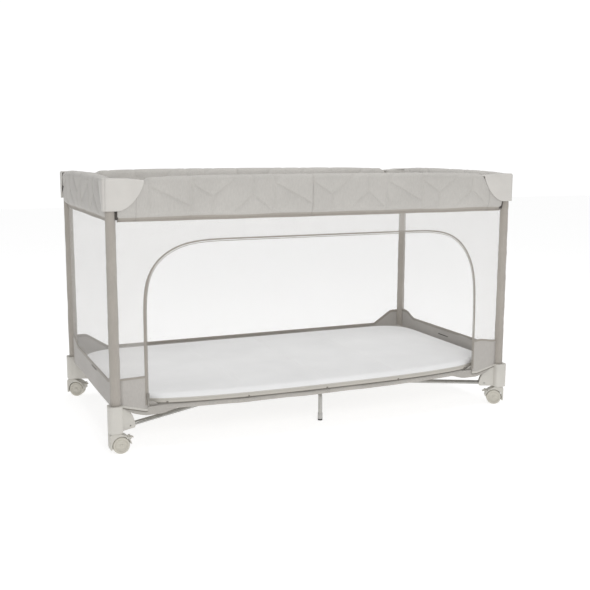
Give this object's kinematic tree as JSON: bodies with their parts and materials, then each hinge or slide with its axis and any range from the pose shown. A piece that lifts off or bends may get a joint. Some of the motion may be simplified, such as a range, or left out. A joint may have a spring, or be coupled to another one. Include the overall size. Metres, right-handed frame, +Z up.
{
  "type": "playpen",
  "caption": "Folding playpen on casters: padded quilted rails, mesh sides with an arched door opening, and a lift-out mattress over a folding hub frame.",
  "frame": {"origin": "on the floor below the middle of the footprint, where the casters and the centre support tips stand", "axes": "+X along the long sides, +Y from the door side to the back, +Z up"},
  "size_m": [1.244, 0.67, 0.715],
  "materials": {
    "frame_plastic": "satin",
    "painted_tube": "satin",
    "bare_steel": "satin",
    "wheel_plastic": "satin",
    "dark_rubber": "matte",
    "button_red": "satin",
    "cover_fabric": "matte",
    "mesh_fabric": "matte",
    "floor_fabric": "matte",
    "mattress_fabric": "matte",
    "zip_metal": "satin"
  },
  "bodies": {
    "hub": {"floor_hub": "frame_plastic", "floor_panel": "floor_fabric"},
    "mattress": {"mattress": "mattress_fabric"},
    "arm_front_left": {"floor_arm_front_left": "bare_steel"},
    "leg_front_left": {"leg_tube_front_left": "painted_tube", "corner_foot_front_left": "frame_plastic", "corner_cap_front_left": "frame_plastic", "mesh_wall_front": "mesh_fabric", "rail_cover_front": "cover_fabric"},
    "long_rail_front_left": {"long_rail_front_left": "bare_steel"},
    "short_rail_front_left": {"short_rail_front_left": "bare_steel"},
    "caster_front_left": {"caster_fork_front_left": "frame_plastic"},
    "wheel_front_left": {"caster_wheel_front_left": "wheel_plastic"},
    "brake_front_left": {"brake_lever_front_left": "wheel_plastic"},
    "arm_front_right": {"floor_arm_front_right": "bare_steel"},
    "leg_front_right": {"leg_tube_front_right": "painted_tube", "corner_foot_front_right": "frame_plastic", "corner_cap_front_right": "frame_plastic", "mesh_wall_right": "mesh_fabric", "rail_cover_right": "cover_fabric"},
    "long_rail_front_right": {"long_rail_front_right": "bare_steel"},
    "short_rail_front_right": {"short_rail_front_right": "bare_steel"},
    "caster_front_right": {"caster_fork_front_right": "frame_plastic"},
    "wheel_front_right": {"caster_wheel_front_right": "wheel_plastic"},
    "brake_front_right": {"brake_lever_front_right": "wheel_plastic"},
    "arm_back_left": {"floor_arm_back_left": "bare_steel"},
    "leg_back_left": {"leg_tube_back_left": "painted_tube", "corner_foot_back_left": "frame_plastic", "corner_cap_back_left": "frame_plastic", "mesh_wall_left": "mesh_fabric", "rail_cover_left": "cover_fabric"},
    "long_rail_back_left": {"long_rail_back_left": "bare_steel"},
    "short_rail_back_left": {"short_rail_back_left": "bare_steel"},
    "caster_back_left": {"caster_fork_back_left": "frame_plastic"},
    "wheel_back_left": {"caster_wheel_back_left": "wheel_plastic"},
    "brake_back_left": {"brake_lever_back_left": "wheel_plastic"},
    "arm_back_right": {"floor_arm_back_right": "bare_steel"},
    "leg_back_right": {"leg_tube_back_right": "painted_tube", "corner_foot_back_right": "frame_plastic", "corner_cap_back_right": "frame_plastic", "mesh_wall_back": "mesh_fabric", "rail_cover_back": "cover_fabric"},
    "long_rail_back_right": {"long_rail_back_right": "bare_steel"},
    "short_rail_back_right": {"short_rail_back_right": "bare_steel"},
    "caster_back_right": {"caster_fork_back_right": "frame_plastic"},
    "wheel_back_right": {"caster_wheel_back_right": "wheel_plastic"},
    "brake_back_right": {"brake_lever_back_right": "wheel_plastic"},
    "lock_front": {"centre_lock_front": "frame_plastic"},
    "button_front": {"release_button_front": "button_red"},
    "lock_back": {"centre_lock_back": "frame_plastic"},
    "button_back": {"release_button_back": "button_red"},
    "lock_left": {"centre_lock_left": "frame_plastic"},
    "button_left": {"release_button_left": "button_red"},
    "lock_right": {"centre_lock_right": "frame_plastic"},
    "button_right": {"release_button_right": "button_red"},
    "support_front": {"support_leg_front": "bare_steel", "support_tip_front": "dark_rubber"},
    "support_back": {"support_leg_back": "bare_steel", "support_tip_back": "dark_rubber"},
    "zip_slider": {"zip_slider": "zip_metal"}
  },
  "joints": [
    {"name": "fold", "type": "hinge", "parent": "hub", "child": "arm_front_left", "pos_m": [-0.05, -0.028, 0.0655], "axis": [0.4451, -0.8955, 0], "range_deg": [0, 82], "deforming": ["mesh_wall_front", "mesh_wall_back", "mesh_wall_left", "mesh_wall_right", "rail_cover_front", "rail_cover_back", "rail_cover_left", "rail_cover_right", "floor_panel"]},
    {"name": "leg_front_left_fold", "type": "hinge", "parent": "arm_front_left", "child": "leg_front_left", "pos_m": [-0.557, -0.28, 0.0655], "axis": [0.4451, -0.8955, 0], "range_deg": [-82, 0]},
    {"name": "long_rail_front_left_fold", "type": "hinge", "parent": "leg_front_left", "child": "long_rail_front_left", "pos_m": [-0.537, -0.3, 0.69], "axis": [0, 1, 0], "range_deg": [0, 82]},
    {"name": "short_rail_front_left_fold", "type": "hinge", "parent": "leg_front_left", "child": "short_rail_front_left", "pos_m": [-0.593, -0.282, 0.69], "axis": [-1, 0, 0], "range_deg": [0, 82]},
    {"name": "arm_front_right_fold", "type": "hinge", "parent": "hub", "child": "arm_front_right", "pos_m": [0.05, -0.028, 0.0655], "axis": [0.4451, 0.8955, 0], "range_deg": [0, 82]},
    {"name": "leg_front_right_fold", "type": "hinge", "parent": "arm_front_right", "child": "leg_front_right", "pos_m": [0.557, -0.28, 0.0655], "axis": [0.4451, 0.8955, 0], "range_deg": [-82, 0]},
    {"name": "long_rail_front_right_fold", "type": "hinge", "parent": "leg_front_right", "child": "long_rail_front_right", "pos_m": [0.537, -0.3, 0.69], "axis": [0, -1, 0], "range_deg": [0, 82]},
    {"name": "short_rail_front_right_fold", "type": "hinge", "parent": "leg_front_right", "child": "short_rail_front_right", "pos_m": [0.593, -0.282, 0.69], "axis": [-1, 0, 0], "range_deg": [0, 82]},
    {"name": "arm_back_left_fold", "type": "hinge", "parent": "hub", "child": "arm_back_left", "pos_m": [-0.05, 0.028, 0.0655], "axis": [-0.4451, -0.8955, 0], "range_deg": [0, 82]},
    {"name": "leg_back_left_fold", "type": "hinge", "parent": "arm_back_left", "child": "leg_back_left", "pos_m": [-0.557, 0.28, 0.0655], "axis": [-0.4451, -0.8955, 0], "range_deg": [-82, 0]},
    {"name": "long_rail_back_left_fold", "type": "hinge", "parent": "leg_back_left", "child": "long_rail_back_left", "pos_m": [-0.537, 0.3, 0.69], "axis": [0, 1, 0], "range_deg": [0, 82]},
    {"name": "short_rail_back_left_fold", "type": "hinge", "parent": "leg_back_left", "child": "short_rail_back_left", "pos_m": [-0.593, 0.282, 0.69], "axis": [1, 0, 0], "range_deg": [0, 82]},
    {"name": "arm_back_right_fold", "type": "hinge", "parent": "hub", "child": "arm_back_right", "pos_m": [0.05, 0.028, 0.0655], "axis": [-0.4451, 0.8955, 0], "range_deg": [0, 82]},
    {"name": "leg_back_right_fold", "type": "hinge", "parent": "arm_back_right", "child": "leg_back_right", "pos_m": [0.557, 0.28, 0.0655], "axis": [-0.4451, 0.8955, 0], "range_deg": [-82, 0]},
    {"name": "long_rail_back_right_fold", "type": "hinge", "parent": "leg_back_right", "child": "long_rail_back_right", "pos_m": [0.537, 0.3, 0.69], "axis": [0, -1, 0], "range_deg": [0, 82]},
    {"name": "short_rail_back_right_fold", "type": "hinge", "parent": "leg_back_right", "child": "short_rail_back_right", "pos_m": [0.593, 0.282, 0.69], "axis": [1, 0, 0], "range_deg": [0, 82]},
    {"name": "lock_front_level", "type": "hinge", "parent": "long_rail_front_left", "child": "lock_front", "pos_m": [-0.03, -0.3, 0.69], "axis": [0, 1, 0], "range_deg": [-82, 0]},
    {"name": "lock_back_level", "type": "hinge", "parent": "long_rail_back_left", "child": "lock_back", "pos_m": [-0.03, 0.3, 0.69], "axis": [0, 1, 0], "range_deg": [-82, 0]},
    {"name": "lock_left_level", "type": "hinge", "parent": "short_rail_front_left", "child": "lock_left", "pos_m": [-0.593, -0.03, 0.69], "axis": [-1, 0, 0], "range_deg": [-82, 0]},
    {"name": "lock_right_level", "type": "hinge", "parent": "short_rail_front_right", "child": "lock_right", "pos_m": [0.593, -0.03, 0.69], "axis": [-1, 0, 0], "range_deg": [-82, 0]},
    {"name": "support_front_fold", "type": "hinge", "parent": "hub", "child": "support_front", "pos_m": [0.014, -0.04, 0.0655], "axis": [1, 0, 0], "range_deg": [0, 82]},
    {"name": "support_back_fold", "type": "hinge", "parent": "hub", "child": "support_back", "pos_m": [-0.014, 0.04, 0.0655], "axis": [-1, 0, 0], "range_deg": [0, 82]},
    {"name": "button_front_press", "type": "slide", "parent": "lock_front", "child": "button_front", "axis": [0, 0, 1], "range_m": [0, 0.006], "stiffness_N_per_m": 300, "springref_m": -0.004},
    {"name": "button_back_press", "type": "slide", "parent": "lock_back", "child": "button_back", "axis": [0, 0, 1], "range_m": [0, 0.006], "stiffness_N_per_m": 300, "springref_m": -0.004},
    {"name": "button_left_press", "type": "slide", "parent": "lock_left", "child": "button_left", "axis": [0, 0, 1], "range_m": [0, 0.006], "stiffness_N_per_m": 300, "springref_m": -0.004},
    {"name": "button_right_press", "type": "slide", "parent": "lock_right", "child": "button_right", "axis": [0, 0, 1], "range_m": [0, 0.006], "stiffness_N_per_m": 300, "springref_m": -0.004},
    {"name": "mattress_lift", "type": "slide", "parent": "hub", "child": "mattress", "axis": [0, 0, 1], "range_m": [0, 0.65], "deforming": ["mattress"]},
    {"name": "zip_slider_slide", "type": "slide", "parent": "leg_front_left", "child": "zip_slider", "axis": [0, 0, 1], "range_m": [0, 0.23]},
    {"name": "caster_front_left_swivel", "type": "hinge", "parent": "leg_front_left", "child": "caster_front_left", "pos_m": [-0.593, -0.3, 0.055], "axis": [0, 0, 1], "continuous": true},
    {"name": "wheel_front_left_spin", "type": "hinge", "parent": "caster_front_left", "child": "wheel_front_left", "pos_m": [-0.583, -0.3, 0.0225], "axis": [0, 1, 0], "continuous": true},
    {"name": "brake_front_left_press", "type": "hinge", "parent": "caster_front_left", "child": "brake_front_left", "pos_m": [-0.5572, -0.3, 0.04057], "axis": [0, 1, 0], "range_deg": [0, 20]},
    {"name": "caster_front_right_swivel", "type": "hinge", "parent": "leg_front_right", "child": "caster_front_right", "pos_m": [0.593, -0.3, 0.055], "axis": [0, 0, 1], "continuous": true},
    {"name": "wheel_front_right_spin", "type": "hinge", "parent": "caster_front_right", "child": "wheel_front_right", "pos_m": [0.58434, -0.295, 0.0225], "axis": [-0.5, -0.866, 0], "continuous": true},
    {"name": "brake_front_right_press", "type": "hinge", "parent": "caster_front_right", "child": "brake_front_right", "pos_m": [0.56199, -0.2821, 0.04057], "axis": [-0.5, -0.866, 0], "range_deg": [0, 20]},
    {"name": "caster_back_left_swivel", "type": "hinge", "parent": "leg_back_left", "child": "caster_back_left", "pos_m": [-0.593, 0.3, 0.055], "axis": [0, 0, 1], "continuous": true},
    {"name": "wheel_back_left_spin", "type": "hinge", "parent": "caster_back_left", "child": "wheel_back_left", "pos_m": [-0.58443, 0.29485, 0.0225], "axis": [0.515, 0.8572, 0], "continuous": true},
    {"name": "brake_back_left_press", "type": "hinge", "parent": "caster_back_left", "child": "brake_back_left", "pos_m": [-0.56231, 0.28156, 0.04057], "axis": [0.515, 0.8572, 0], "range_deg": [0, 20]},
    {"name": "caster_back_right_swivel", "type": "hinge", "parent": "leg_back_right", "child": "caster_back_right", "pos_m": [0.593, 0.3, 0.055], "axis": [0, 0, 1], "continuous": true},
    {"name": "wheel_back_right_spin", "type": "hinge", "parent": "caster_back_right", "child": "wheel_back_right", "pos_m": [0.5836, 0.29658, 0.0225], "axis": [0.342, -0.9397, 0], "continuous": true},
    {"name": "brake_back_right_press", "type": "hinge", "parent": "caster_back_right", "child": "brake_back_right", "pos_m": [0.55936, 0.28775, 0.04057], "axis": [0.342, -0.9397, 0], "range_deg": [0, 20]}
  ],
  "couplings": [
    {"joint": "leg_front_left_fold", "follows": "fold", "ratio": -1},
    {"joint": "long_rail_front_left_fold", "follows": "fold", "ratio": 1},
    {"joint": "short_rail_front_left_fold", "follows": "fold", "ratio": 1},
    {"joint": "arm_front_right_fold", "follows": "fold", "ratio": 1},
    {"joint": "leg_front_right_fold", "follows": "fold", "ratio": -1},
    {"joint": "long_rail_front_right_fold", "follows": "fold", "ratio": 1},
    {"joint": "short_rail_front_right_fold", "follows": "fold", "ratio": 1},
    {"joint": "arm_back_left_fold", "follows": "fold", "ratio": 1},
    {"joint": "leg_back_left_fold", "follows": "fold", "ratio": -1},
    {"joint": "long_rail_back_left_fold", "follows": "fold", "ratio": 1},
    {"joint": "short_rail_back_left_fold", "follows": "fold", "ratio": 1},
    {"joint": "arm_back_right_fold", "follows": "fold", "ratio": 1},
    {"joint": "leg_back_right_fold", "follows": "fold", "ratio": -1},
    {"joint": "long_rail_back_right_fold", "follows": "fold", "ratio": 1},
    {"joint": "short_rail_back_right_fold", "follows": "fold", "ratio": 1},
    {"joint": "lock_front_level", "follows": "fold", "ratio": -1},
    {"joint": "lock_back_level", "follows": "fold", "ratio": -1},
    {"joint": "lock_left_level", "follows": "fold", "ratio": -1},
    {"joint": "lock_right_level", "follows": "fold", "ratio": -1},
    {"joint": "support_front_fold", "follows": "fold", "ratio": 1},
    {"joint": "support_back_fold", "follows": "fold", "ratio": 1}
  ]
}
